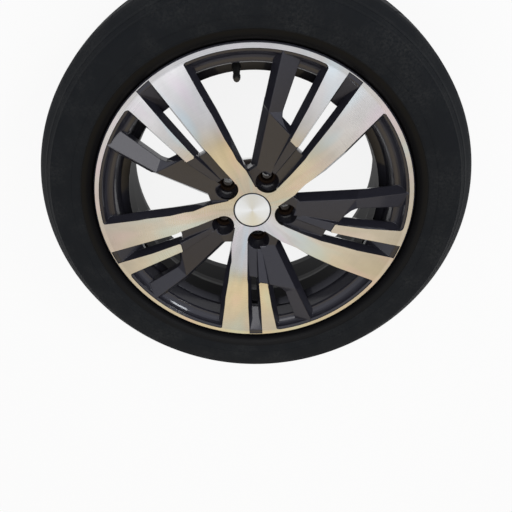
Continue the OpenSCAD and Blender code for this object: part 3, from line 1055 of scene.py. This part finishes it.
    def side(self) -> list[Station]:
        """One sidewall, from the bead's toe to the shoulder."""
        toe = Station(self.seat_r - (self.bead - self.heel) * self.seat_taper, self.rim_half - self.bead)
        curl_at = (self.flange_r - self.curl, self.rim_half + self.curl)
        heel_at = (self.seat_r + self.heel, self.rim_half - self.heel)
        wall = self.outer_r - self.flange_r
        rows = [toe]
        rows += self.arc(heel_at, self.heel, 180, 90, 4)
        rows += self.arc(curl_at, self.curl, -90, -33.75, 4)
        for share in self.side_shares():
            out = self.half_width - self.side_inset(share) + self.rib_height(share)
            rows.append(Station(self.flange_r + share * wall, min(out, self.half_width)))
        return rows

    def half_crown(self) -> list[Station]:
        """One half of the tread, from the shoulder to the middle."""
        depth = self.groove_depth
        cross, fine = depth * self.cross_share, self.fine_depth
        edge, middle, near = self.shoulder_at
        rows = [
            Station(self.crown(self.half_tread), self.half_tread),
            Station(self.crown(edge), edge, depth * self.edge_share),
            Station(self.crown(middle), middle, cross, 4),
            Station(self.crown(near), near, cross, 4),
        ]
        for at in self.groove_at:
            outer, inner = at + self.groove_half, at - self.groove_half
            floor = self.crown(at) - depth
            outer_cut = cross if at == self.groove_at[0] else fine
            rows.append(Station(self.crown(outer), outer, outer_cut, 2))
            rows.append(Station(floor, outer - self.groove_slope))
            rows.append(Station(floor, inner + self.groove_slope))
            rows.append(Station(self.crown(inner), inner, fine, 3))
            if at == self.groove_at[0]:
                rows.append(Station(self.crown(inner - 4), inner - 4, fine, 4))
                rows.append(Station(self.crown(inner - 8), inner - 8, 0, 4))
                rows.append(Station(self.crown(inner - 20), inner - 20, 0, 4))
        rows.append(Station(self.crown(9), 9, 0, 4))
        rows.append(Station(self.crown(4), 4, 0, 0))
        return rows

    def section(self) -> list[Station]:
        """The tyre's whole section as one closed ring of stations."""
        half = self.side() + self.half_crown()
        mirrored = [Station(s.radius, -s.across, s.lateral, s.sipe) for s in reversed(half)]
        wall = self.outer_r - self.flange_r
        inner = [Station(self.seat_r + 1.5, self.rim_half - self.bead - 1.5)]
        for share, inset in self.cavity:
            inner.append(Station(self.flange_r + share * wall, self.half_width - inset))
        inner_mirrored = [Station(s.radius, -s.across) for s in inner]
        return half + mirrored + inner_mirrored + [s for s in reversed(inner) if s.across > 0]

    def knots(self) -> list[tuple[float, float, float]]:
        """The places within one pitch, as its share, and how deep the cross grooves and cuts are there."""
        rows = [(share, depth, 0.0) for share, depth in self.lateral_knots]
        rows += [(share, 0.0, depth) for share, depth in self.sipe_knots]
        rows += [(share, 0.0, 0.0) for share in self.plain_knots]
        return sorted(rows)

    def mesh(self) -> bpy.types.Mesh:
        """The tyre's mesh: the section swept round the axis, cut inwards where the grooves are."""
        section, knots = self.section(), self.knots()
        pitch = math.tau / self.pitches
        points: Points = []
        for k in range(self.pitches):
            for share, groove, cut in knots:
                for s in section:
                    turn = (k + share) * pitch + self.skew * s.across
                    r = s.radius - max(groove * s.lateral, cut * s.sipe)
                    x, y = r * math.cos(turn), r * math.sin(turn)
                    points.append((x * MM, y * MM, (self.middle + s.across) * MM))
        n, rings = len(section), self.pitches * len(knots)
        faces = [
            (k * n + i, k * n + (i + 1) % n, (k + 1) % rings * n + (i + 1) % n, (k + 1) % rings * n + i)
            for k in range(rings)
            for i in range(n)
        ]
        mesh = bpy.data.meshes.new("tyre_rubber")
        mesh.from_pydata(points, [], [tuple(reversed(face)) for face in faces])
        mesh.update()
        return mesh

    def build(self) -> None:
        """Makes the tyre, dresses it and puts it in the place of its CAD solid."""
        mesh = self.mesh()
        mesh.shade_smooth()
        mesh.set_sharp_from_angle(angle=math.radians(self.sharp_angle))
        tyre = bpy.data.objects.new("tyre_moulded", mesh)
        bpy.context.scene.collection.objects.link(tyre)
        mesh.materials.append(TyreFinish().build())
        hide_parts("tyre")
        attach(tyre, Body.WHEEL.value)
        LOG.info("made tyre_moulded with %d faces", len(mesh.polygons))


@dataclass(frozen=True)
class Lamp:
    """A soft area lamp that points at the wheel. Its place and width are in metres."""

    name: str
    place: tuple[float, float, float]
    width: float
    watts: float
    colour: Colour

    def build(self) -> None:
        """Hangs the lamp."""
        light = bpy.data.lights.new(self.name, "AREA")
        light.shape = "DISK"
        light.size = self.width
        light.energy = self.watts
        light.color = self.colour
        lamp = bpy.data.objects.new(self.name, light)
        lamp.location = self.place
        lamp.rotation_euler = (-Vector(self.place)).to_track_quat("-Z", "Y").to_euler()
        bpy.context.scene.collection.objects.link(lamp)


@dataclass
class Studio:
    """The floor, the lamps and the light from all round."""

    floor_width: float = 14.0
    soft_level: float = 0.62
    warm_from: Point = (-0.24, -0.44)
    low_from: Point = (0.72, 0.45)
    low: Colour = (0.26, 0.26, 0.29)
    overhead: Colour = (0.93, 0.95, 1.0)
    front: Colour = (0.84, 0.64, 0.27)
    lamps: tuple[Lamp, ...] = (
        Lamp("key_lamp", (-0.12, 0.95, 2.15), 1.1, 9.0, (1.0, 0.98, 0.96)),
        Lamp("side_lamp", (1.5, 0.9, 1.6), 0.4, 8.0, (0.92, 0.96, 1.0)),
        Lamp("front_lamp", (-0.3, -2.2, 1.5), 3.0, 9.0, (1.0, 0.93, 0.82)),
    )

    def light_all_round(self) -> None:
        """Lights the world: white where it is seen, warm in front for gloss, and soft grey for the rest."""
        world = bpy.data.worlds.new("studio_world")
        bpy.context.scene.world = world
        world.use_nodes = True
        graph = Graph(world.node_tree)
        _, y, z = graph.split(graph.add("TexCoord").outputs["Generated"])
        warm = graph.span(y, *self.warm_from)
        path = graph.add("LightPath")
        seen = graph.colours(warm, self.overhead, self.front)
        seen = graph.colours(graph.span(z, *self.low_from), seen, self.low)
        seen = graph.colours(path.outputs[Ray.CAMERA.value], seen, (1.0, 1.0, 1.0))
        back = graph.add("Background")
        graph.feed(back.inputs[0], graph.colours(graph.background_rays(), (1.0, 1.0, 1.0), seen))
        graph.feed(back.inputs[1], graph.span(graph.background_rays(), 0.0, 1.0, self.soft_level, 1.0))
        graph.feed(graph.add("OutputWorld").inputs[0], back.outputs[0])

    def lay_floor(self) -> None:
        """Lays the floor under the tyre."""
        half = self.floor_width / 2
        level = cad_box[0].z
        mesh = bpy.data.meshes.new("floor")
        corners = [(-half, -half, level), (half, -half, level), (half, half, level), (-half, half, level)]
        mesh.from_pydata(corners, [], [(0, 1, 2, 3)])
        mesh.materials.append(FloorFinish().build())
        floor = bpy.data.objects.new("floor", mesh)
        bpy.context.scene.collection.objects.link(floor)

    def build(self) -> None:
        """Makes the studio."""
        self.light_all_round()
        self.lay_floor()
        for lamp in self.lamps:
            lamp.build()
        LOG.info("made the studio with %d lamps", len(self.lamps))


@dataclass(frozen=True)
class PictureCamera:
    """The camera, where the photograph was taken from. Its place is in metres and its turns in degrees."""

    place: tuple[float, float, float] = (0.04022, 0.32118, 0.70432)
    turns: tuple[float, float, float] = (-31.679, 2.0, -7.159)
    lens: float = 32.39
    shift: Point = (0.03575, -0.0007)

    def build(self) -> None:
        """Sets up the camera and the picture's plain colour handling."""
        data = bpy.data.cameras.new("picture_camera")
        data.lens = self.lens
        data.sensor_width = 36.0
        data.shift_x, data.shift_y = self.shift
        data.clip_start = 0.01
        camera = bpy.data.objects.new("picture_camera", data)
        camera.location = self.place
        camera.rotation_euler = [math.radians(turn) for turn in self.turns]
        bpy.context.scene.collection.objects.link(camera)
        bpy.context.scene.camera = camera
        bpy.context.scene.view_settings.view_transform = "Standard"


def main() -> None:
    """Builds the picture, one sub-assembly after the other."""
    logging.basicConfig(level=logging.INFO, format="%(message)s")
    steps: tuple[Callable[[], None], ...] = (
        PictureCamera().build,
        Studio().build,
        CastWheel().build,
        Tyre().build,
        CentreCap().build,
        Valve().build,
    )
    for step in steps:
        step()


if __name__ == "__main__":
    main()
